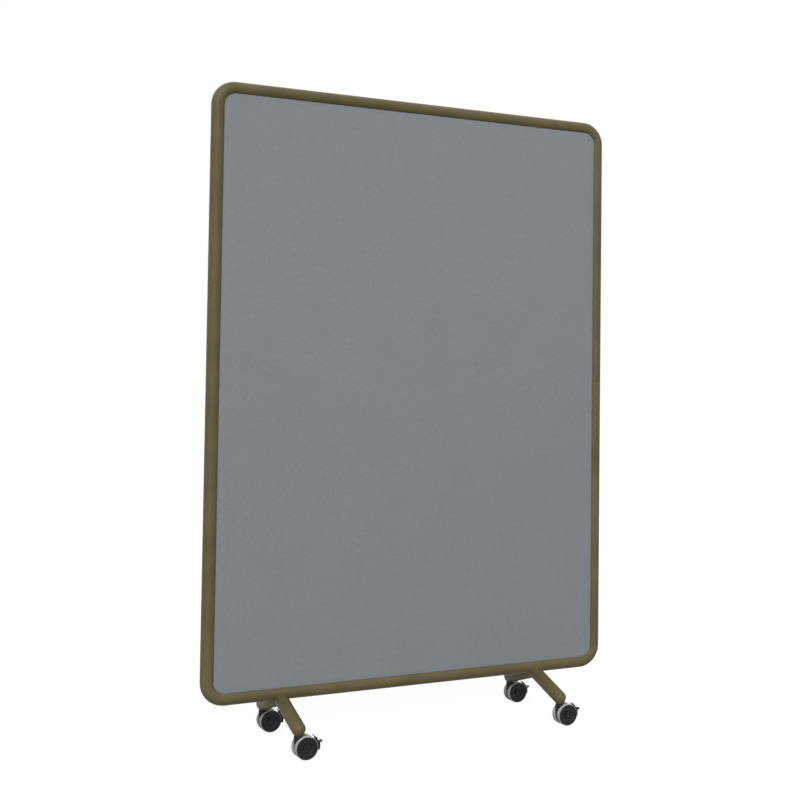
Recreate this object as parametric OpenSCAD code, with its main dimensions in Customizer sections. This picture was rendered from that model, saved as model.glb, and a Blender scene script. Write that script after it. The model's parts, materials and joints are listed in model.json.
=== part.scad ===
// Rolling room partition: a felt-faced panel held in a bent round tube frame, which stands on
// two pairs of splayed legs with braked twin-wheel casters.
// Millimetres, +Z up, +X along the width. The panel's front face looks along -Y.
// The origin lies on the floor under the middle of the frame.

/* [Frame] */
// Overall width of the tube frame
frame_w = 1250; // [900:10:1600]
// Height of the tube frame alone, from its lower to its upper outer edge
frame_h = 1700; // [1200:10:2000]
// Outer diameter of the frame tube
tube_d = 38; // [34:1:50]
// Wall of the frame tube
tube_wall = 2; // [1:0.5:3]
// Corner bend radius, at the centre line of the tube
bend_r = 48; // [40:1:150]

/* [Panel] */
// Thickness of the stiff core board
core_t = 18; // [12:1:22]
// Thickness of the felt on each side of the core
felt_t = 3; // [2:0.5:4]
// Thinnest part of the rubber seal between the core and the frame tube
seal_t = 2; // [1:0.5:4]
// Diameter of the dowels that hold the core in the frame
dowel_d = 8; // [5:0.5:10]
// Depth that a dowel reaches into the core
dowel_grip = 16; // [10:1:30]
// Dowels along each upright of the frame
dowels_upright = 3; // [2:1:5]
// Dowels along the top rail, and along the bottom rail
dowels_rail = 2; // [2:1:4]

/* [Legs] */
// Outer diameter of the leg tubes
leg_d = 38; // [34:1:42]
// Wall of the leg tubes
leg_wall = 2; // [1.5:0.5:3]
// Distance between the left and the right pair of legs
leg_span = 800; // [500:10:840]
// Distance of each caster stem from the panel's mid-plane
leg_reach = 155; // [130:5:260]
// Downward slope of the legs, in degrees
leg_slope = 17; // [14:1:24]
// Height of the frame tube's axis above the point where a pair of leg axes meets
leg_tuck = 16; // [10:1:24]
// Length of the knuckle's spigot inside the leg tube
spigot_len = 22; // [18:1:40]
// Height of the ball's centre above the flat that the caster stem seats on
seat_drop = 16.5; // [16:0.5:20]
// Radius of the short boss under the ball
seat_boss_r = 11.5; // [10.5:0.5:12.5]

/* [Casters] */
// Wheel diameter
wheel_d = 62; // [50:1:64]
// Width of one wheel, with its cap
wheel_w = 15; // [13.5:0.1:20]
// Distance of the axle behind the swivel axis
trail = 18; // [16:0.5:24]
// Thickness of the body between the two wheels
body_t = 12.2; // [12:0.1:16]
// Radius of the round part of the body
body_r = 28.5; // [26:0.5:28.5]
// Height of the neck's top above the axle
neck_h = 30.6; // [30:0.1:35]
// Radius of the collar at the neck's top
collar_r = 12.5; // [10:0.5:13]
// Axle diameter
axle_d = 6; // [5:0.5:8]
// Radial thickness of the soft tread
tread_t = 3; // [2.5:0.5:5]
// Width of the tread that shows round the cap's edge
cap_inset = 1.6; // [0.4:0.1:2]
// Radius of the raised boss in the wheel cap
cap_boss_r = 9.3; // [8.6:0.1:11]
// Width of the groove round the boss
cap_groove_w = 4.2; // [2.5:0.1:6]
// Drop of the dished face from the rim of the cap to the groove
dish_depth = 3; // [1:0.1:3.2]
// Depth of the groove round the boss
cap_groove_depth = 2.5; // [1:0.1:2.7]
// Diameter of the stem in the leg's knuckle
stem_d = 10; // [9:0.5:12]
// Length of the stem in the knuckle
stem_len = 24; // [18:1:28]
// Diameter of the pintle that the body turns on
pintle_d = 8; // [6:0.5:9]
// Diameter of the thrust flange on the stem
flange_d = 16; // [13:0.5:18]
// Thickness of the thrust flange
flange_t = 1.2; // [0.8:0.1:3]

/* [Brake] */
// Width of the pedal's tread plate
pedal_w = 18; // [16:1:30]
// Thickness of the tread plate
pedal_t = 1.8; // [1.5:0.1:4]
// Gap between the raised pedal's shoe and the tyres
shoe_lift = 3.2; // [3.2:0.1:5]
// Thickness of the shoe under the tread plate
shoe_t = 1.2; // [1:0.1:5]
// Length of the pedal's lip
lip_len = 12.5; // [8:0.5:18]
// Thickness of the pedal's arm and heel between the wheels
arm_t = 7; // [4:0.5:8]
// Distance that the pedal's heel stands out past the tread plate
heel_out = 5.5; // [0.5:0.5:6]
// Diameter of the pedal's hinge pin
brake_pin_d = 3; // [2:0.5:4]

/* [Fits] */
// Gap between fixed pieces that seat on each other
seat_gap = 0.05; // [0.03:0.01:0.1]
// Radial clearance of axles, pintles and pins in their bores
run_gap = 0.05; // [0.03:0.01:0.1]
// Side clearance between pieces that move past each other
side_gap = 0.3; // [0.2:0.05:0.6]

/* [Hidden] */

$fn = 96;
cut = 1; // how far a cutting solid stands past the surface it cuts

// colours of the real finishes
bronze = [0.43, 0.41, 0.32];
felt_grey = [0.49, 0.52, 0.53];
board_brown = [0.62, 0.52, 0.40];
rubber_black = [0.09, 0.09, 0.09];
nylon_black = [0.14, 0.14, 0.14];
tread_grey = [0.70, 0.70, 0.69];
steel = [0.66, 0.66, 0.68];

// sides of the panel and of the width
front = -1;
rear = 1;
left = -1;
right = 1;

// legs and frame heights, built up from the floor
tube_r = tube_d / 2;
leg_r = leg_d / 2;
wheel_r = wheel_d / 2;
neck_top = wheel_r + neck_h;
seat_z = neck_top + side_gap + flange_t;
ball_z = seat_z + seat_drop;
leg_len = leg_reach / cos(leg_slope);
apex_z = ball_z + leg_reach * tan(leg_slope);
rail_z = apex_z + leg_tuck;
axis_w = frame_w - tube_d;
axis_h = frame_h - tube_d;
frame_mid_z = rail_z + axis_h / 2;

// spot-faced seat round the boss under each ball
seat_land = 1.5;
seat_r = seat_boss_r + seat_land;

// caster body
neck_half = body_r - trail;
arch_gap = 0.8; // between the tyres and the arch that the collar forms over them
pintle_depth = 22;
hub_y = body_t / 2 + side_gap; // inner face of a wheel, from the middle of the caster

// wheel, in its own cross-section: radius from the axle, depth from the wheel's inner face
tyre_start = 0.4;
cap_rim_t = 1.3;
tyre_end = wheel_w - cap_rim_t - 2 * seat_gap;
shoulder_share = 0.45; // radius of the tyre's shoulders as a share of the tread's thickness
tyre_round = shoulder_share * tread_t;
rim_r = wheel_r - tread_t;
rim_wall = 4;
web_start = 3;
web_t = 2.5;
boss_r = 7;
boss_len = wheel_w / 2;
axle_head_r = 4.6;
axle_head_t = 1;
cap_bevel = 0.7;
cap_skin = 1.4;
cap_boss_drop = 1.1;
dish_inset = 0.5; // how far the dish starts inside the tyre's seat
dish_outer_r = rim_r - dish_inset;
groove_r = cap_boss_r + cap_groove_w;
skirt_t = 1.5;
skirt_len = 3;

// brake, seen along the axle: angles from the rearward horizontal
pivot_r = 19;
pivot_angle = 45;
plate_start = 10;
plate_end = 50;
shoe_start = 13;
shoe_end = 21;
heel_start = -11;
heel_end = 10;
arm_angle = 30;
lip_rise = 26;
shoe_r = wheel_r + shoe_lift;
plate_r = shoe_r + shoe_t;
heel_r = plate_r + pedal_t + heel_out;
arm_h = 7;
pedal_root_r = 4.5;
slot_r = 10.5;
slot_centre_r = 24;
slot_angle = 40;

// a point at radius r and angle a
function polar(r, a) = [r * cos(a), r * sin(a)];

pivot = polar(pivot_r, pivot_angle);

// ---- shared shapes ----

// ring of round stock along the frame's centre line
module frame_ring(r) {
    run_x = axis_w - 2 * bend_r;
    run_z = axis_h - 2 * bend_r;
    translate([0, 0, frame_mid_z]) {
        for (s = [-1, 1]) {
            translate([s * axis_w / 2, 0, 0]) cylinder(r = r, h = run_z, center = true);
            translate([0, 0, s * axis_h / 2]) rotate([0, 90, 0])
                cylinder(r = r, h = run_x, center = true);
        }
        for (q = [0 : 3])
            translate([(q == 0 || q == 3 ? 1 : -1) * run_x / 2, 0, (q < 2 ? 1 : -1) * run_z / 2])
                rotate([0, -90 * q, 0])
                    rotate([90, 0, 0])
                        rotate_extrude(angle = 90) translate([bend_r, 0]) circle(r = r);
    }
}

// upright plate that lies a distance inset inside the frame's centre line, from y to y + t
module panel_plate(inset, y, t) {
    w = axis_w - 2 * inset;
    h = axis_h - 2 * inset;
    r = bend_r - inset;
    translate([0, y + t, frame_mid_z]) rotate([90, 0, 0]) linear_extrude(t) {
        square([w - 2 * r, h], center = true);
        square([w, h - 2 * r], center = true);
        for (sx = [-1, 1], sz = [-1, 1])
            translate([sx * (w / 2 - r), sz * (h / 2 - r)]) circle(r = r);
    }
}

// puts a shape at the end of every dowel position, with +Z pointing into the panel
module at_dowels() {
    for (s = [-1, 1], i = [1 : dowels_upright])
        translate([s * axis_w / 2, 0, rail_z + axis_h * i / (dowels_upright + 1)])
            rotate([0, -90 * s, 0]) children();
    for (s = [-1, 1], i = [1 : dowels_rail])
        translate([axis_w * (i / (dowels_rail + 1) - 0.5), 0, frame_mid_z + s * axis_h / 2])
            rotate([90 + 90 * s, 0, 0]) children();
}

// dowel or its hole, from inside the tube wall into the core
module dowel(gap, past) {
    start = tube_r - tube_wall;
    translate([0, 0, start - past])
        cylinder(d = dowel_d + 2 * gap, h = tube_wall + seal_t + dowel_grip + 2 * past);
}

// +Z runs down along a leg from the point where the pair's axes meet
module along_leg(sx, sy) {
    translate([sx * leg_span / 2, 0, apex_z]) rotate([-sy * (90 + leg_slope), 0, 0]) children();
}

// origin at the floor under a caster's stem
module at_caster(sx, sy) {
    translate([sx * leg_span / 2, sy * leg_reach, 0]) children();
}

// flat under a ball, cut into the knuckle and the end of the leg tube
module seat_cutter(sx, sy) {
    at_caster(sx, sy) translate([0, 0, seat_z - leg_r]) cylinder(r = seat_r, h = leg_r);
}

// origin on the axle, with +Z pointing along it to the side given
module on_axle(sx, sy, side) {
    at_caster(sx, sy) translate([trail, 0, wheel_r]) rotate([-90 * side, 0, 0]) children();
}

// origin at a wheel's inner face; an outer wheel lies on the side away from the panel
module at_wheel(sx, sy, outer) {
    on_axle(sx, sy, outer ? sy : -sy) translate([0, 0, hub_y]) children();
}

// flat outline seen from the front (X to the right, Y up, from the axle), given a width along the axle
module across_caster(sx, sy, w) {
    at_caster(sx, sy) translate([trail, w / 2, wheel_r]) rotate([90, 0, 0]) linear_extrude(w) children();
}

// part of a flat ring between two radii and two angles
module arc_band(r_in, r_out, from, to) {
    far = 2 * r_out;
    intersection() {
        difference() {
            circle(r = r_out);
            circle(r = r_in);
        }
        polygon([[0, 0], polar(far, from), polar(far, to)]);
    }
}

// straight bar with round ends between two points of an outline
module bar(p, q, w) {
    run = q - p;
    translate(p) rotate(atan2(run.y, run.x)) translate([0, -w / 2]) square([norm(run), w]);
    translate(p) circle(d = w);
    translate(q) circle(d = w);
}

// ---- frame and panel ----

module frame_tube() {
    color(bronze) difference() {
        frame_ring(tube_r);
        frame_ring(tube_r - tube_wall);
        at_dowels() dowel(seat_gap, tube_wall / 2);
    }
}

module panel_core() {
    color(board_brown) difference() {
        panel_plate(tube_r + seal_t, -core_t / 2, core_t);
        at_dowels() dowel(seat_gap, seat_gap);
    }
}

module felt(side) {
    near = core_t / 2 + seat_gap;
    color(felt_grey) difference() {
        panel_plate(0, side > 0 ? near : -near - felt_t, felt_t);
        frame_ring(tube_r + seat_gap);
    }
}

module edge_seal() {
    color(rubber_black) difference() {
        panel_plate(0, -core_t / 2, core_t);
        panel_plate(tube_r + seal_t - seat_gap, -core_t / 2 - cut, core_t + 2 * cut);
        frame_ring(tube_r + seat_gap);
        at_dowels() dowel(seat_gap, seat_gap);
    }
}

module panel_dowels() {
    color(steel) at_dowels() dowel(0, 0);
}

// ---- legs ----

module leg(sx, sy) {
    overrun = leg_d * tan(leg_slope);
    color(bronze) difference() {
        along_leg(sx, sy) translate([0, 0, -overrun]) difference() {
            cylinder(r = leg_r, h = leg_len + overrun - seat_gap);
            translate([0, 0, -cut]) cylinder(r = leg_r - leg_wall, h = leg_len + overrun + 2 * cut);
        }
        translate([sx * leg_span / 2, -sy * (leg_d - seat_gap), apex_z])
            cube([leg_d + 2 * cut, 2 * leg_d, 3 * leg_d], center = true);
        translate([sx * leg_span / 2, 0, rail_z]) rotate([0, 90, 0])
            cylinder(r = tube_r + seat_gap, h = leg_d + 2 * cut, center = true);
        seat_cutter(sx, sy);
        at_caster(sx, sy) translate([0, 0, seat_z - cut])
            cylinder(r = seat_boss_r + seat_gap, h = seat_drop + cut);
    }
}

module knuckle(sx, sy) {
    color(bronze) difference() {
        union() {
            along_leg(sx, sy) translate([0, 0, leg_len]) {
                difference() {
                    sphere(r = leg_r);
                    translate([0, 0, -leg_r]) cube([leg_d + cut, leg_d + cut, leg_d], center = true);
                }
                translate([0, 0, -spigot_len]) cylinder(r = leg_r - leg_wall - seat_gap, h = spigot_len);
            }
            at_caster(sx, sy) translate([0, 0, seat_z]) cylinder(r = seat_boss_r, h = seat_drop);
        }
        seat_cutter(sx, sy);
        at_caster(sx, sy) translate([0, 0, seat_z - cut])
            cylinder(d = stem_d + 2 * seat_gap, h = stem_len + cut + seat_gap);
    }
}

// ---- casters ----

module stem(sx, sy) {
    pintle_len = flange_t + side_gap + pintle_depth;
    color(steel) at_caster(sx, sy) translate([0, 0, seat_z]) {
        cylinder(d = stem_d, h = stem_len);
        translate([0, 0, -seat_gap - flange_t]) cylinder(d = flange_d, h = flange_t);
        translate([0, 0, -pintle_len]) cylinder(d = pintle_d, h = pintle_len);
    }
}

module caster_body(sx, sy) {
    color(nylon_black) difference() {
        union() {
            across_caster(sx, sy, body_t) {
                circle(r = body_r);
                translate([-trail - neck_half, 0]) square([2 * neck_half, neck_h]);
            }
            difference() {
                at_caster(sx, sy) translate([0, 0, wheel_r]) cylinder(r = collar_r, h = neck_h);
                across_caster(sx, sy, 2 * collar_r + cut) circle(r = wheel_r + arch_gap);
            }
        }
        at_caster(sx, sy) translate([0, 0, neck_top - pintle_depth - side_gap])
            cylinder(d = pintle_d + 2 * run_gap, h = pintle_depth + side_gap + cut);
        across_caster(sx, sy, body_t + 2 * cut) circle(d = axle_d + 2 * seat_gap);
        across_caster(sx, sy, arm_t + 2 * side_gap)
            translate(polar(slot_centre_r, slot_angle)) circle(r = slot_r);
        across_caster(sx, sy, body_t + 2 * cut) translate(pivot) circle(d = brake_pin_d + 2 * seat_gap);
    }
}

module axle(sx, sy) {
    reach = hub_y + boss_len + 2 * run_gap;
    color(steel) {
        across_caster(sx, sy, 2 * reach) circle(d = axle_d);
        for (side = [-1, 1])
            on_axle(sx, sy, side) translate([0, 0, reach]) cylinder(r = axle_head_r, h = axle_head_t);
    }
}

module hub(sx, sy, outer) {
    bore_r = axle_d / 2 + run_gap;
    color(nylon_black) at_wheel(sx, sy, outer) rotate_extrude() {
        translate([bore_r, 0]) square([boss_r - bore_r, boss_len]);
        translate([bore_r, web_start]) square([rim_r - bore_r, web_t]);
        translate([rim_r - rim_wall, tyre_start]) square([rim_wall, tyre_end - tyre_start]);
    }
}

module tyre(sx, sy, outer) {
    inner_r = rim_r + seat_gap;
    width = tyre_end - tyre_start;
    color(tread_grey) at_wheel(sx, sy, outer) rotate_extrude() translate([0, tyre_start]) {
        translate([inner_r, 0]) square([wheel_r - tyre_round - inner_r, width]);
        translate([inner_r, tyre_round]) square([wheel_r - inner_r, width - 2 * tyre_round]);
        for (h = [tyre_round, width - tyre_round])
            translate([wheel_r - tyre_round, h]) circle(r = tyre_round);
    }
}

module cap(sx, sy, outer) {
    edge_r = wheel_r - cap_inset;
    rim_back = wheel_w - cap_rim_t;
    slope_h = wheel_w - dish_depth;
    groove_h = slope_h - cap_groove_depth;
    boss_top = wheel_w - cap_boss_drop;
    skirt_r = rim_r - rim_wall - seat_gap;
    color(nylon_black) at_wheel(sx, sy, outer) rotate_extrude() {
        polygon([
            [0, boss_top - cap_skin], [cap_boss_r - cap_skin, boss_top - cap_skin],
            [cap_boss_r - cap_skin, groove_h - cap_skin], [groove_r + cap_skin, groove_h - cap_skin],
            [groove_r + cap_skin, slope_h - cap_skin], [skirt_r, rim_back],
            [edge_r, rim_back], [edge_r, wheel_w - cap_bevel],
            [edge_r - cap_bevel, wheel_w], [dish_outer_r, wheel_w],
            [groove_r, slope_h], [groove_r, groove_h],
            [cap_boss_r, groove_h], [cap_boss_r, boss_top - cap_bevel],
            [cap_boss_r - cap_bevel, boss_top], [0, boss_top]
        ]);
        translate([skirt_r - skirt_t, rim_back - skirt_len]) square([skirt_t, skirt_len]);
    }
}

module brake_pin(sx, sy) {
    color(steel) across_caster(sx, sy, body_t) translate(pivot) circle(d = brake_pin_d);
}

module brake_pedal(sx, sy) {
    plate_mid = plate_r + pedal_t / 2;
    lip_root = polar(plate_mid, plate_start + asin(pedal_t / 2 / plate_mid));
    color(nylon_black) difference() {
        union() {
            across_caster(sx, sy, pedal_w) {
                arc_band(plate_r, plate_r + pedal_t, plate_start, plate_end);
                arc_band(shoe_r, plate_r + pedal_t / 2, shoe_start, shoe_end);
                bar(lip_root, lip_root + polar(lip_len, lip_rise), pedal_t);
            }
            across_caster(sx, sy, arm_t) {
                translate(pivot) circle(r = pedal_root_r);
                bar(pivot, polar(plate_mid, arm_angle), arm_h);
                arc_band(shoe_r, heel_r, heel_start, heel_end);
                translate(polar((shoe_r + heel_r) / 2, heel_start)) circle(d = heel_r - shoe_r);
            }
        }
        across_caster(sx, sy, arm_t + 2 * cut) translate(pivot) circle(d = brake_pin_d + 2 * run_gap);
    }
}

frame_tube();
panel_core();
felt(front);  // front_felt
felt(rear);  // rear_felt
edge_seal();
panel_dowels();
leg(left, front);  // front_left_leg
leg(right, front);  // front_right_leg
leg(left, rear);  // rear_left_leg
leg(right, rear);  // rear_right_leg
knuckle(left, front);  // front_left_knuckle
knuckle(right, front);  // front_right_knuckle
knuckle(left, rear);  // rear_left_knuckle
knuckle(right, rear);  // rear_right_knuckle
stem(left, front);  // front_left_stem
stem(right, front);  // front_right_stem
stem(left, rear);  // rear_left_stem
stem(right, rear);  // rear_right_stem
caster_body(left, front);  // front_left_caster_body
caster_body(right, front);  // front_right_caster_body
caster_body(left, rear);  // rear_left_caster_body
caster_body(right, rear);  // rear_right_caster_body
axle(left, front);  // front_left_axle
axle(right, front);  // front_right_axle
axle(left, rear);  // rear_left_axle
axle(right, rear);  // rear_right_axle
hub(left, front, true);  // front_left_outer_hub
hub(right, front, true);  // front_right_outer_hub
hub(left, rear, true);  // rear_left_outer_hub
hub(right, rear, true);  // rear_right_outer_hub
hub(left, front, false);  // front_left_inner_hub
hub(right, front, false);  // front_right_inner_hub
hub(left, rear, false);  // rear_left_inner_hub
hub(right, rear, false);  // rear_right_inner_hub
tyre(left, front, true);  // front_left_outer_tyre
tyre(right, front, true);  // front_right_outer_tyre
tyre(left, rear, true);  // rear_left_outer_tyre
tyre(right, rear, true);  // rear_right_outer_tyre
tyre(left, front, false);  // front_left_inner_tyre
tyre(right, front, false);  // front_right_inner_tyre
tyre(left, rear, false);  // rear_left_inner_tyre
tyre(right, rear, false);  // rear_right_inner_tyre
cap(left, front, true);  // front_left_outer_cap
cap(right, front, true);  // front_right_outer_cap
cap(left, rear, true);  // rear_left_outer_cap
cap(right, rear, true);  // rear_right_outer_cap
cap(left, front, false);  // front_left_inner_cap
cap(right, front, false);  // front_right_inner_cap
cap(left, rear, false);  // rear_left_inner_cap
cap(right, rear, false);  // rear_right_inner_cap
brake_pin(left, front);  // front_left_brake_pin
brake_pin(right, front);  // front_right_brake_pin
brake_pin(left, rear);  // rear_left_brake_pin
brake_pin(right, rear);  // rear_right_brake_pin
brake_pedal(left, front);  // front_left_brake_pedal
brake_pedal(right, front);  // front_right_brake_pedal
brake_pedal(left, rear);  // rear_left_brake_pedal
brake_pedal(right, rear);  // rear_right_brake_pedal
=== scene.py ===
import json
import math

import bmesh
import bpy
from mathutils import Matrix, Vector


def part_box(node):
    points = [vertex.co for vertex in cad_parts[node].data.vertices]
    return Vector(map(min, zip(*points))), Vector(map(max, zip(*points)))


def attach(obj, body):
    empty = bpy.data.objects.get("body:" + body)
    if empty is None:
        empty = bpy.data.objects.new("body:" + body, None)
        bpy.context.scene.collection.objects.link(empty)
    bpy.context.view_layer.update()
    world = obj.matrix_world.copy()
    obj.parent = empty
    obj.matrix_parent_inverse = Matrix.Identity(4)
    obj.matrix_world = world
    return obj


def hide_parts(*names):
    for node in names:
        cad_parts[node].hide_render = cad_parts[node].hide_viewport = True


# Rolling partition: felt panel in a bent tube frame, on splayed legs with braked twin-wheel casters.
# Metres, +Z up, the front face looks along -Y.

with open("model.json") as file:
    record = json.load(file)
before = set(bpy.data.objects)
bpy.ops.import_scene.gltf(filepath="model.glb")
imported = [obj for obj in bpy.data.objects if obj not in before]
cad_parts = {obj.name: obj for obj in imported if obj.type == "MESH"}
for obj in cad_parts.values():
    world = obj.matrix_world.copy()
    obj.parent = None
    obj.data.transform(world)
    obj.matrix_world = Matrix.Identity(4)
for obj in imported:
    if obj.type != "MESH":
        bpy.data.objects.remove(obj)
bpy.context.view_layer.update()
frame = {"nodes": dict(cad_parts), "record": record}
nodes = frame["nodes"]
slotOf = {part["node"]: part["material_slot"] for part in frame["record"]["subparts"]}
bodyOf = {node: body for body, members in frame["record"]["behaviour"]["bodies"].items()
          for node in members}
casters = [f"{end}_{side}" for end in ("front", "rear") for side in ("left", "right")]
mm = 0.001
tiny = 0.01 * mm                     # points closer than this count as the same place
print("frame loaded:", len(nodes), "pieces")


def toLinear(code):
    # sRGB hex to the linear values that the shader reads
    channels = [int(code[i:i + 2], 16) / 255 for i in (1, 3, 5)]
    return [c / 12.92 if c <= 0.04045 else ((c + 0.055) / 1.055) ** 2.4 for c in channels] + [1.0]


def addNode(owner, kind, settings=None, links=None):
    # one node with its settings, and its inputs linked to other nodes' outputs
    node = owner.node_tree.nodes.new(kind)
    for key, value in (settings or {}).items():
        if isinstance(key, str) and hasattr(node, key):
            setattr(node, key, value)
        else:
            node.inputs[key].default_value = value
    for key, source in (links or {}).items():
        owner.node_tree.links.new(source, node.inputs[key])
    return node


def emptyTree(owner):
    owner.use_nodes = True
    owner.node_tree.nodes.clear()


def newFinish(name, finish):
    # a Principled surface with its constants on its own sockets, and the place on the piece
    mat = bpy.data.materials.new(name)
    emptyTree(mat)
    shader = addNode(mat, "ShaderNodeBsdfPrincipled", finish["surface"])
    addNode(mat, "ShaderNodeOutputMaterial", links={"Surface": shader.outputs["BSDF"]})
    where = addNode(mat, "ShaderNodeTexCoord").outputs["Object"]
    return mat, shader, where


def grain(mat, where, lumps):
    # noise whose lumps have about the given size, with its detail and roughness
    size, detail, roughness = lumps
    node = addNode(mat, "ShaderNodeTexNoise",
                   {"Scale": 1 / size, "Detail": detail, "Roughness": roughness}, {"Vector": where})
    return node.outputs["Fac"]


def blendOf(mat, first, second, share):
    node = addNode(mat, "ShaderNodeMix", {"data_type": "FLOAT", "Factor": share}, {"A": first, "B": second})
    return node.outputs["Result"]


def colourBy(mat, shader, factor, finish):
    # the finish's tones, each at its place from 0 to 1, into the base colour
    node = addNode(mat, "ShaderNodeValToRGB", links={"Fac": factor})
    band = node.color_ramp.elements
    tones = finish["tones"]
    for element, (place, code) in zip(band, (tones[0], tones[-1])):
        element.position = place
        element.color = toLinear(code)
    for place, code in tones[1:-1]:
        band.new(place).color = toLinear(code)
    mat.node_tree.links.new(node.outputs["Color"], shader.inputs["Base Color"])


def roughnessBy(mat, shader, factor, finish):
    smooth, rough = finish["roughness"]
    node = addNode(mat, "ShaderNodeMapRange", {"To Min": smooth, "To Max": rough}, {"Value": factor})
    mat.node_tree.links.new(node.outputs["Result"], shader.inputs["Roughness"])


def bumpBy(mat, shader, height, finish):
    strength, depth = finish["bump"]
    node = addNode(mat, "ShaderNodeBump", {"Strength": strength, "Distance": depth}, {"Height": height})
    mat.node_tree.links.new(node.outputs["Normal"], shader.inputs["Normal"])


# in each finish a grain is (size, detail, roughness), and the bump is (strength, depth)
powderCoat = {"surface": {"IOR": 1.5, "Specular IOR Level": 0.18},
              "tones": [(0.32, "#4d452c"), (0.5, "#5b5338"), (0.68, "#686045")],
              "drift": (110 * mm, 2.0, 0.5),
              "speckle": (0.8 * mm, 1.0, 0.5),     # coarser than real pigment, so that it shows
              "speckleShare": 0.6, "roughness": (0.47, 0.57),
              "peel": (2.2 * mm, 2.0, 0.5), "bump": (0.22, 0.2 * mm)}


def makePowderCoat():
    # matte bronze powder coat, sprayed and baked: pigment speckle and a soft orange peel
    mat, shader, where = newFinish("powderCoatBronze", powderCoat)
    drift = grain(mat, where, powderCoat["drift"])
    speckle = grain(mat, where, powderCoat["speckle"])
    colourBy(mat, shader, blendOf(mat, drift, speckle, powderCoat["speckleShare"]), powderCoat)
    roughnessBy(mat, shader, drift, powderCoat)
    bumpBy(mat, shader, grain(mat, where, powderCoat["peel"]), powderCoat)
    return mat


felt = {"surface": {"Roughness": 0.95, "IOR": 1.46, "Specular IOR Level": 0.2,
                    "Sheen Weight": 0.1, "Sheen Roughness": 0.6},
        "tones": [(0.3, "#747a7e"), (0.5, "#7b8185"), (0.7, "#82888c")],
        "clump": (7 * mm, 3.0, 0.6),
        "fibre": (0.9 * mm, 2.0, 0.7),             # coarser than a fibre, so that it shows
        "fibreShare": 0.5, "cloud": (160 * mm, 2.0, 0.5), "cloudShare": 0.12, "bump": (0.5, 0.4 * mm)}


def makeFelt():
    # needle-punched polyester felt: short matted fibres, faintly mottled, no gloss
    mat, shader, where = newFinish("needlePunchedFelt", felt)
    clumps = grain(mat, where, felt["clump"])
    fibres = grain(mat, where, felt["fibre"])
    matted = blendOf(mat, clumps, fibres, felt["fibreShare"])
    clouds = grain(mat, where, felt["cloud"])
    colourBy(mat, shader, blendOf(mat, matted, clouds, felt["cloudShare"]), felt)
    bumpBy(mat, shader, matted, felt)
    return mat


nylon = {"surface": {"IOR": 1.53, "Specular IOR Level": 0.19},
         "tones": [(0.3, "#131313"), (0.7, "#1b1b1b")],
         "flow": (17 * mm, 2.0, 0.5), "roughness": (0.33, 0.42),
         "grit": (0.6 * mm, 1.0, 0.5), "bump": (0.25, 0.1 * mm)}


def makeNylon():
    # black moulded nylon with a spark-eroded texture: satin, a little uneven
    mat, shader, where = newFinish("mouldedNylonBlack", nylon)
    flow = grain(mat, where, nylon["flow"])
    colourBy(mat, shader, flow, nylon)
    roughnessBy(mat, shader, flow, nylon)
    bumpBy(mat, shader, grain(mat, where, nylon["grit"]), nylon)
    return mat


tread = {"surface": {"IOR": 1.5, "Roughness": 0.75, "Specular IOR Level": 0.2},
         "tones": [(0.25, "#9a9a97"), (0.5, "#aaa9a6"), (0.75, "#b3b2af")],
         "dust": (7 * mm, 3.0, 0.6), "bump": (0.2, 0.2 * mm)}


def makeTread():
    # soft grey thermoplastic rubber: matt, with a little floor dust on it
    mat, shader, where = newFinish("softTreadGrey", tread)
    dust = grain(mat, where, tread["dust"])
    colourBy(mat, shader, dust, tread)
    bumpBy(mat, shader, dust, tread)
    return mat


zinc = {"surface": {"Metallic": 1.0},
        "tones": [(0.3, "#8f9194"), (0.7, "#b4b6b8")],
        "cloud": (4.5 * mm, 3.0, 0.5), "roughness": (0.3, 0.42),
        "turning": 1.1 * mm, "wobble": 1.0, "bump": (0.1, 0.1 * mm)}


def makeZinc():
    # turned steel with bright zinc plating: fine rings and a light cloudiness
    mat, shader, where = newFinish("zincPlatedSteel", zinc)
    cloud = grain(mat, where, zinc["cloud"])
    colourBy(mat, shader, cloud, zinc)
    roughnessBy(mat, shader, cloud, zinc)
    rings = addNode(mat, "ShaderNodeTexWave", {"bands_direction": "Z", "Scale": 1 / zinc["turning"],
                                               "Distortion": zinc["wobble"]}, {"Vector": where})
    bumpBy(mat, shader, rings.outputs["Fac"], zinc)
    return mat


seal = {"surface": {"IOR": 1.52, "Roughness": 0.8},
        "tones": [(0.3, "#141414"), (0.7, "#1e1e1e")],
        "bloom": (11 * mm, 2.0, 0.5), "bump": (0.1, 0.2 * mm)}


def makeSeal():
    # extruded rubber profile: dull black with a faint bloom
    mat, shader, where = newFinish("extrudedRubberBlack", seal)
    bloom = grain(mat, where, seal["bloom"])
    colourBy(mat, shader, bloom, seal)
    bumpBy(mat, shader, bloom, seal)
    return mat


board = {"surface": {"IOR": 1.5, "Roughness": 0.9},
         "tones": [(0.1, "#8c7355"), (0.6, "#b29672")],
         "chip": 4 * mm, "bump": (0.3, 0.2 * mm)}


def makeBoard():
    # raw chipboard, with chips a few millimetres long
    mat, shader, where = newFinish("rawChipboard", board)
    chips = addNode(mat, "ShaderNodeTexVoronoi", {"Scale": 1 / board["chip"]}, {"Vector": where})
    colourBy(mat, shader, chips.outputs["Distance"], board)
    bumpBy(mat, shader, chips.outputs["Distance"], board)
    return mat


finishes = {"powder_coat": makePowderCoat(), "felt": makeFelt(), "black_nylon": makeNylon(),
            "grey_tread": makeTread(), "plain_steel": makeZinc(), "seal_rubber": makeSeal(),
            "core_board": makeBoard()}
print("finishes made:", len(finishes))


def dress(piece, slot):
    piece.data.materials.clear()
    piece.data.materials.append(finishes[slot])


for name, piece in nodes.items():
    dress(piece, slotOf[name])


def deselectAll():
    bpy.ops.object.select_all(action="DESELECT")


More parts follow.
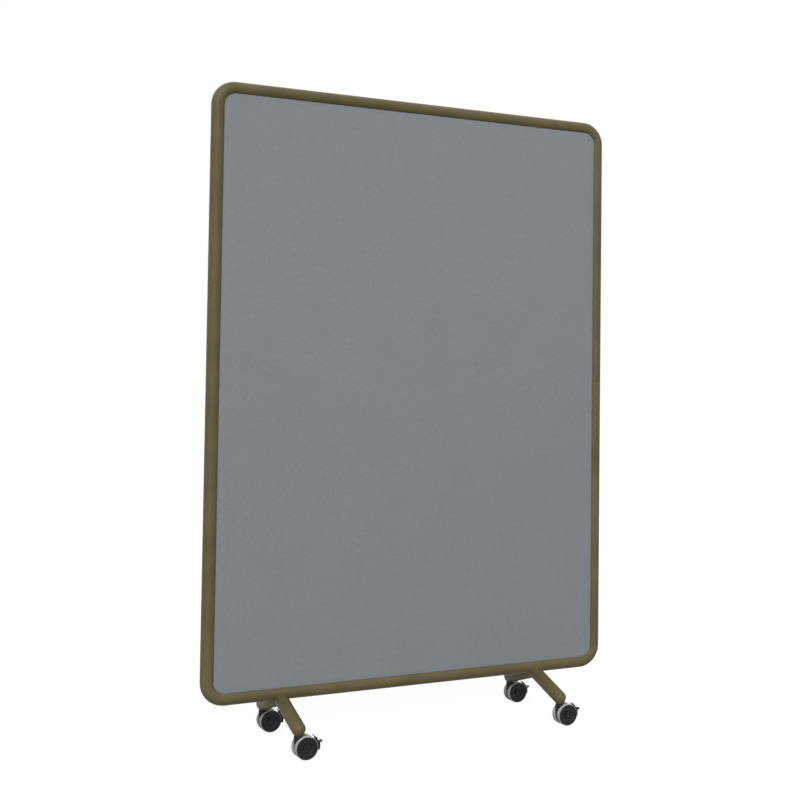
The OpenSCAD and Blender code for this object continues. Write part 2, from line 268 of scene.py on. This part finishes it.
def work(piece):
    # makes one piece the only one selected, and the active one
    deselectAll()
    piece.select_set(True)
    bpy.context.view_layer.objects.active = piece


def pick(kind, test=lambda middle, element: True):
    # in edit mode, selects the faces, edges or vertices whose centre and element pass the test
    bpy.ops.mesh.select_mode(type={"faces": "FACE", "edges": "EDGE", "verts": "VERT"}[kind])
    bpy.ops.mesh.select_all(action="DESELECT")
    mesh = bpy.context.object.data
    shape = bmesh.from_edit_mesh(mesh)
    for element in getattr(shape, kind):
        points = [element.co] if kind == "verts" else [v.co for v in element.verts]
        middle = sum(points, Vector()) / len(points)
        element.select = bool(test(middle, element))
    shape.select_flush_mode()
    bmesh.update_edit_mesh(mesh)


def extrudeBy(x, y, z):
    bpy.ops.mesh.extrude_region_move(TRANSFORM_OT_translate={"value": (x, y, z)})


def addModifier(piece, kind, settings):
    work(piece)
    modifier = piece.modifiers.new(kind.title(), kind)
    for key, value in settings.items():
        setattr(modifier, key, value)
    bpy.ops.object.modifier_apply(modifier=modifier.name)


def roundEdges(piece, width, segments=2, sharperThan=35):
    addModifier(piece, "BEVEL", {"width": width, "segments": segments, "limit_method": "ANGLE",
                                 "angle_limit": math.radians(sharperThan)})


def smoothFaces(piece, angle):
    # smooth shading, except at edges sharper than the angle in degrees
    work(piece)
    bpy.ops.object.shade_smooth_by_angle(angle=math.radians(angle))


def settle(piece):
    # puts the piece's place into its mesh, so that its object sits at the origin
    work(piece)
    bpy.ops.object.transform_apply(location=True, rotation=True, scale=True)


def copyOf(piece, name):
    copy = piece.copy()
    copy.data = piece.data.copy()
    copy.name = name
    bpy.context.scene.collection.objects.link(copy)
    return copy


def standIn(piece, name, node):
    # names a finished piece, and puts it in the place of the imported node
    piece.name = name
    dress(piece, slotOf[node])
    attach(piece, bodyOf[node])
    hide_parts(node)


feltFace = {"rimRound": 1.6 * mm, "rimSteps": 4, "cornerSteps": 24, "smooth": 50}


def makeFeltFace(node, outwards):
    # a stretched sheet of felt on the core board, its edge rolled in against the tube
    low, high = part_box(node)
    width, thickness, height = high - low
    frontY = high.y if outwards > 0 else low.y
    topEdge = [v.co.x for v in nodes[node].data.vertices if high.z - v.co.z < tiny]
    cornerRadius = high.x - max(topEdge)
    deselectAll()
    bpy.ops.mesh.primitive_plane_add(size=1, location=(0, frontY, (low.z + high.z) / 2),
                                     rotation=(math.radians(90) * -outwards, 0, 0))
    piece = bpy.context.object
    piece.scale = (width, height, 1)
    settle(piece)
    bpy.ops.object.mode_set(mode="EDIT")
    pick("verts")
    bpy.ops.mesh.bevel(offset=cornerRadius, segments=feltFace["cornerSteps"], affect="VERTICES",
                       offset_type="OFFSET")
    pick("faces")
    extrudeBy(0, -outwards * thickness, 0)
    bpy.ops.mesh.select_all(action="SELECT")
    bpy.ops.mesh.normals_make_consistent(inside=False)
    pick("edges", lambda middle, edge: abs(middle.y - frontY) < tiny)
    bpy.ops.mesh.bevel(offset=feltFace["rimRound"], segments=feltFace["rimSteps"], affect="EDGES")
    bpy.ops.object.mode_set(mode="OBJECT")
    smoothFaces(piece, feltFace["smooth"])
    standIn(piece, f"{node}_sheet", node)


for node, outwards in (("front_felt", -1), ("rear_felt", 1)):
    makeFeltFace(node, outwards)
print("felt faces made")


# wheel caps and tyres are modelled once, with the wheel's outer face at z = 0
tyreLow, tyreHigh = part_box("front_left_outer_tyre")
capLow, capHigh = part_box("front_left_outer_cap")
wheelRadius = (tyreHigh.z - tyreLow.z) / 2

cap = {"radius": (capHigh.z - capLow.z) / 2, "edge": 1.3 * mm, "edgeRound": 0.6 * mm, "edgeSteps": 4,
       "rimWidth": 1.4 * mm, "dish": 3.2 * mm, "dishTo": 13.5 * mm, "groove": 2.6 * mm,
       "boss": 9.3 * mm, "bossRise": 4.6 * mm, "skin": 1.2 * mm, "round": 0.3 * mm,
       "sides": 96, "smooth": 38}


def makeCap():
    # dished disc with a flat rim, and a raised boss that stands in a groove
    deselectAll()
    bpy.ops.mesh.primitive_cylinder_add(vertices=cap["sides"], radius=cap["radius"], depth=cap["edge"],
                                        location=(0, 0, -cap["edge"] / 2))
    piece = bpy.context.object
    settle(piece)
    bpy.ops.object.mode_set(mode="EDIT")
    pick("faces", lambda middle, face: middle.z < tiny - cap["edge"])
    bpy.ops.mesh.delete(type="ONLY_FACE")
    pick("faces", lambda middle, face: middle.z > -tiny)
    bpy.ops.mesh.inset(thickness=cap["rimWidth"])
    bpy.ops.mesh.inset(thickness=cap["radius"] - cap["rimWidth"] - cap["dishTo"])
    bpy.ops.transform.translate(value=(0, 0, -cap["dish"]))
    extrudeBy(0, 0, -cap["groove"])
    bpy.ops.mesh.inset(thickness=cap["dishTo"] - cap["boss"])
    extrudeBy(0, 0, cap["bossRise"])
    pick("edges", lambda middle, edge: all(abs(v.co.z) < tiny and v.co.xy.length > cap["radius"] - tiny
                                           for v in edge.verts))
    bpy.ops.mesh.bevel(offset=cap["edgeRound"], segments=cap["edgeSteps"], affect="EDGES")
    bpy.ops.object.mode_set(mode="OBJECT")
    addModifier(piece, "SOLIDIFY", {"thickness": cap["skin"], "offset": -1})
    roundEdges(piece, cap["round"])
    smoothFaces(piece, cap["smooth"])
    return piece


tyre = {"width": tyreHigh.y - tyreLow.y, "setBack": tyreLow.y - capLow.y, "depth": 2.95 * mm,
        "shoulder": 1.6 * mm, "shoulderSteps": 5, "steps": 96, "smooth": 38}


def makeTyre():
    # soft ring with round shoulders: its cross-section, spun about the axle
    centreRadius = wheelRadius - tyre["depth"] / 2
    deselectAll()
    bpy.ops.mesh.primitive_plane_add(size=1, rotation=(math.radians(90), 0, 0),
                                     location=(centreRadius, 0, -tyre["setBack"] - tyre["width"] / 2))
    piece = bpy.context.object
    piece.scale = (tyre["depth"], tyre["width"], 1)
    settle(piece)
    bpy.ops.object.mode_set(mode="EDIT")
    pick("verts", lambda middle, vert: middle.x > centreRadius)
    bpy.ops.mesh.bevel(offset=tyre["shoulder"], segments=tyre["shoulderSteps"], affect="VERTICES")
    pick("faces")
    bpy.ops.mesh.delete(type="ONLY_FACE")
    pick("edges")
    bpy.ops.mesh.spin(steps=tyre["steps"], angle=2 * math.pi, center=(0, 0, 0), axis=(0, 0, 1))
    bpy.ops.mesh.select_all(action="SELECT")
    bpy.ops.mesh.remove_doubles(threshold=tiny)
    bpy.ops.mesh.normals_make_consistent(inside=False)
    bpy.ops.object.mode_set(mode="OBJECT")
    smoothFaces(piece, tyre["smooth"])
    return piece


def placeOnWheel(master, wheel, part, name):
    # turns a copy of the master's +Z out along the axle and moves it to its wheel
    tyreMin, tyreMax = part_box(f"{wheel}_tyre")
    capMin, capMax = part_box(f"{wheel}_cap")
    outwards = 1 if capMax.y > tyreMax.y else -1
    face = capMax.y if outwards > 0 else capMin.y
    centre = (tyreMin + tyreMax) / 2
    piece = copyOf(master, name)
    piece.rotation_euler = (math.radians(-90 * outwards), 0, 0)
    piece.location = (centre.x, face, centre.z)
    settle(piece)
    standIn(piece, name, f"{wheel}_{part}")


capMaster, tyreMaster = makeCap(), makeTyre()
for caster in casters:
    for wheel in (f"{caster}_outer", f"{caster}_inner"):
        placeOnWheel(capMaster, wheel, "cap", f"{wheel}_cap_shell")
        placeOnWheel(tyreMaster, wheel, "tyre", f"{wheel}_tyre_ring")
for master in (capMaster, tyreMaster):
    bpy.data.objects.remove(master)
print("wheel caps and tyres made")


# turned, tubular and moulded pieces: how wide their broken edges are
edgeBreaks = {"leg": 0.35 * mm, "knuckle": 0.35 * mm, "stem": 0.25 * mm, "caster_body": 0.5 * mm,
              "brake_pedal": 0.4 * mm, "axle": 0.3 * mm}
edgeMesh = {"merge": 0.002 * mm, "flatWithin": 0.4, "smooth": 32}


def breakEdges(node, width):
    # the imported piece's own shape, merged, with its sharp edges rounded
    name = f"{node}_finished"
    piece = copyOf(nodes[node], name)
    work(piece)
    bpy.ops.object.mode_set(mode="EDIT")
    bpy.ops.mesh.select_all(action="SELECT")
    bpy.ops.mesh.remove_doubles(threshold=edgeMesh["merge"])
    bpy.ops.mesh.customdata_custom_splitnormals_clear()
    bpy.ops.mesh.dissolve_limited(angle_limit=math.radians(edgeMesh["flatWithin"]))
    bpy.ops.object.mode_set(mode="OBJECT")
    roundEdges(piece, width)
    smoothFaces(piece, edgeMesh["smooth"])
    standIn(piece, name, node)


for caster in casters:
    for part, width in edgeBreaks.items():
        breakEdges(f"{caster}_{part}", width)
print("edges broken")


# weld beads where the legs meet the bottom rail and each other; the tuck is how far below the
# rail's centre the centre lines of the two legs of a pair meet
weld = {"radius": 1.5 * mm, "waist": 0.86, "steps": 120, "roundness": 4, "smooth": 60,
        "slope": math.radians(17), "tuck": 16 * mm}


def legPoint(leg, outwards, turn, onRail):
    # a point on a leg's surface, where it meets the rail, or where it meets the leg opposite
    side = leg["radius"] * math.cos(turn)
    lift = leg["radius"] * math.sin(turn)
    slopeSin, slopeCos = math.sin(weld["slope"]), math.cos(weld["slope"])
    if onRail:
        half = weld["tuck"] * slopeSin
        rest = lift ** 2 + weld["tuck"] ** 2 - 2 * weld["tuck"] * lift * slopeCos - leg["radius"] ** 2
        along = math.sqrt(max(half ** 2 - rest, 0)) - half
    else:
        along = -lift * slopeSin / slopeCos
    out = slopeCos * along + slopeSin * lift
    up = leg["meetZ"] - slopeSin * along + slopeCos * lift
    return leg["x"] + side, outwards * out, up


def makeBead(name, points):
    # a rippled bead along the points, drawn as a curve and turned into a mesh
    data = bpy.data.curves.new(name, "CURVE")
    data.dimensions = "3D"
    data.bevel_depth = weld["radius"]
    data.bevel_resolution = weld["roundness"]
    data.use_fill_caps = True
    line = data.splines.new("POLY")
    line.points.add(len(points) - 1)
    for count, (knot, point) in enumerate(zip(line.points, points)):
        knot.co = (*point, 1)
        knot.radius = (1, weld["waist"])[count // 2 % 2]
    piece = bpy.data.objects.new(name, data)
    bpy.context.scene.collection.objects.link(piece)
    work(piece)
    bpy.ops.object.convert(target="MESH")
    piece = bpy.context.object
    smoothFaces(piece, weld["smooth"])
    dress(piece, "powder_coat")
    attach(piece, "root")


def makeWelds(side):
    # the rail is of the same tube as the legs
    low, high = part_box(f"front_{side}_leg")
    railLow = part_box("frame_tube")[0].z
    radius = (high.x - low.x) / 2
    leg = {"x": (low.x + high.x) / 2, "radius": radius, "meetZ": railLow + radius - weld["tuck"]}
    start = math.asin((weld["tuck"] - radius) * math.cos(weld["slope"]) / radius)
    for end, outwards in (("front", -1), ("rear", 1)):
        turns = [start + (math.pi - 2 * start) * step / weld["steps"] for step in range(weld["steps"] + 1)]
        makeBead(f"{end}_{side}_rail_weld", [legPoint(leg, outwards, turn, True) for turn in turns])
    turns = [start - (math.pi + 2 * start) * step / weld["steps"] for step in range(weld["steps"] + 1)]
    makeBead(f"{side}_mitre_weld", [legPoint(leg, 1, turn, False) for turn in turns])


for side in ("left", "right"):
    makeWelds(side)
print("weld beads made")


# fitted to the edges of the frame and the discs of the casters in the photograph; focal length,
# centre and image size are in its pixels, the turns in degrees
viewpoint = {"place": (-1.5740, -3.5532, 1.0103), "turn": -28.296, "tilt": 2.397, "roll": 0.578,
             "focal": 1321.0, "centre": (520.0, 325.0), "imageSize": 800.0, "sensor": 36.0,
             "nearest": 0.05, "furthest": 100.0}


def addCamera():
    data = bpy.data.cameras.new("photoCamera")
    camera = bpy.data.objects.new("photoCamera", data)
    bpy.context.scene.collection.objects.link(camera)
    size = viewpoint["imageSize"]
    data.sensor_width = viewpoint["sensor"]
    data.sensor_fit = "HORIZONTAL"
    data.lens = viewpoint["focal"] / size * viewpoint["sensor"]
    data.shift_x = (size / 2 - viewpoint["centre"][0]) / size
    data.shift_y = (viewpoint["centre"][1] - size / 2) / size
    data.clip_start = viewpoint["nearest"]
    data.clip_end = viewpoint["furthest"]
    aim = (Matrix.Rotation(math.radians(viewpoint["turn"]), 4, "Z")
           @ Matrix.Rotation(math.radians(90 + viewpoint["tilt"]), 4, "X")
           @ Matrix.Rotation(math.radians(viewpoint["roll"]), 4, "Z"))
    camera.matrix_world = Matrix.Translation(viewpoint["place"]) @ aim
    bpy.context.scene.camera = camera


addCamera()

# soft lamps: where the light comes from, its power, and how many degrees wide it is
lamps = {"softKey": ((-0.46, -1.0, 0.62), 2.53, 30.0),
         "topLight": ((0, 0, 1), 1.05, 120.0),
         "rearFill": ((0.1, 1.0, 0.4), 1.7, 110.0)}


def addLamp(name, fromSide, power, spread):
    data = bpy.data.lights.new(name, "SUN")
    data.energy = power
    data.angle = math.radians(spread)
    lamp = bpy.data.objects.new(name, data)
    bpy.context.scene.collection.objects.link(lamp)
    lamp.rotation_euler = Vector(fromSide).to_track_quat("Z", "Y").to_euler()


for name, settings in lamps.items():
    addLamp(name, *settings)

studio = {"ambient": 0.32, "backdrop": 1.0, "white": "#ffffff", "floorSize": 60.0,
          "floorColour": "#6e6e6c", "shadowColour": "#555555", "floorGlow": 0.92}


def seenDirectly(owner):
    # 1 where the camera, a reflection or glass looks at it, 0 where it lights other things
    rays = addNode(owner, "ShaderNodeLightPath")
    seen = addNode(owner, "ShaderNodeMath", {"operation": "MAXIMUM"},
                   {0: rays.outputs["Is Camera Ray"], 1: rays.outputs["Is Glossy Ray"]})
    seen = addNode(owner, "ShaderNodeMath", {"operation": "MAXIMUM"},
                   {0: seen.outputs["Value"], 1: rays.outputs["Is Transmission Ray"]})
    return seen.outputs["Value"]


def addWorld():
    # even grey light on the object, plain white where the camera or a reflection sees it
    world = bpy.data.worlds.new("studioAir")
    bpy.context.scene.world = world
    emptyTree(world)
    white = toLinear(studio["white"])
    air = addNode(world, "ShaderNodeBackground", {"Color": white, "Strength": studio["ambient"]})
    backdrop = addNode(world, "ShaderNodeBackground", {"Color": white, "Strength": studio["backdrop"]})
    mixed = addNode(world, "ShaderNodeMixShader",
                    links={0: seenDirectly(world), 1: air.outputs["Background"],
                           2: backdrop.outputs["Background"]})
    addNode(world, "ShaderNodeOutputWorld", links={"Surface": mixed.outputs["Shader"]})


def addFloor():
    # pale seamless floor: it shows white to the camera and keeps a soft shadow
    deselectAll()
    bpy.ops.mesh.primitive_plane_add(size=studio["floorSize"], location=(0, 0, 0))
    floor = bpy.context.object
    floor.name = "studioFloor"
    mat = bpy.data.materials.new("paleFloor")
    emptyTree(mat)
    matt = addNode(mat, "ShaderNodeBsdfDiffuse", {"Color": toLinear(studio["floorColour"])})
    faint = addNode(mat, "ShaderNodeBsdfDiffuse", {"Color": toLinear(studio["shadowColour"])})
    glow = addNode(mat, "ShaderNodeEmission", {"Color": toLinear(studio["white"]),
                                               "Strength": studio["floorGlow"]})
    both = addNode(mat, "ShaderNodeAddShader", links={0: faint.outputs["BSDF"], 1: glow.outputs["Emission"]})
    mixed = addNode(mat, "ShaderNodeMixShader",
                    links={0: seenDirectly(mat), 1: matt.outputs["BSDF"], 2: both.outputs["Shader"]})
    addNode(mat, "ShaderNodeOutputMaterial", links={"Surface": mixed.outputs["Shader"]})
    floor.data.materials.append(mat)


addWorld()
addFloor()
bpy.context.scene.view_settings.view_transform = "Standard"
print("camera, light and floor placed")
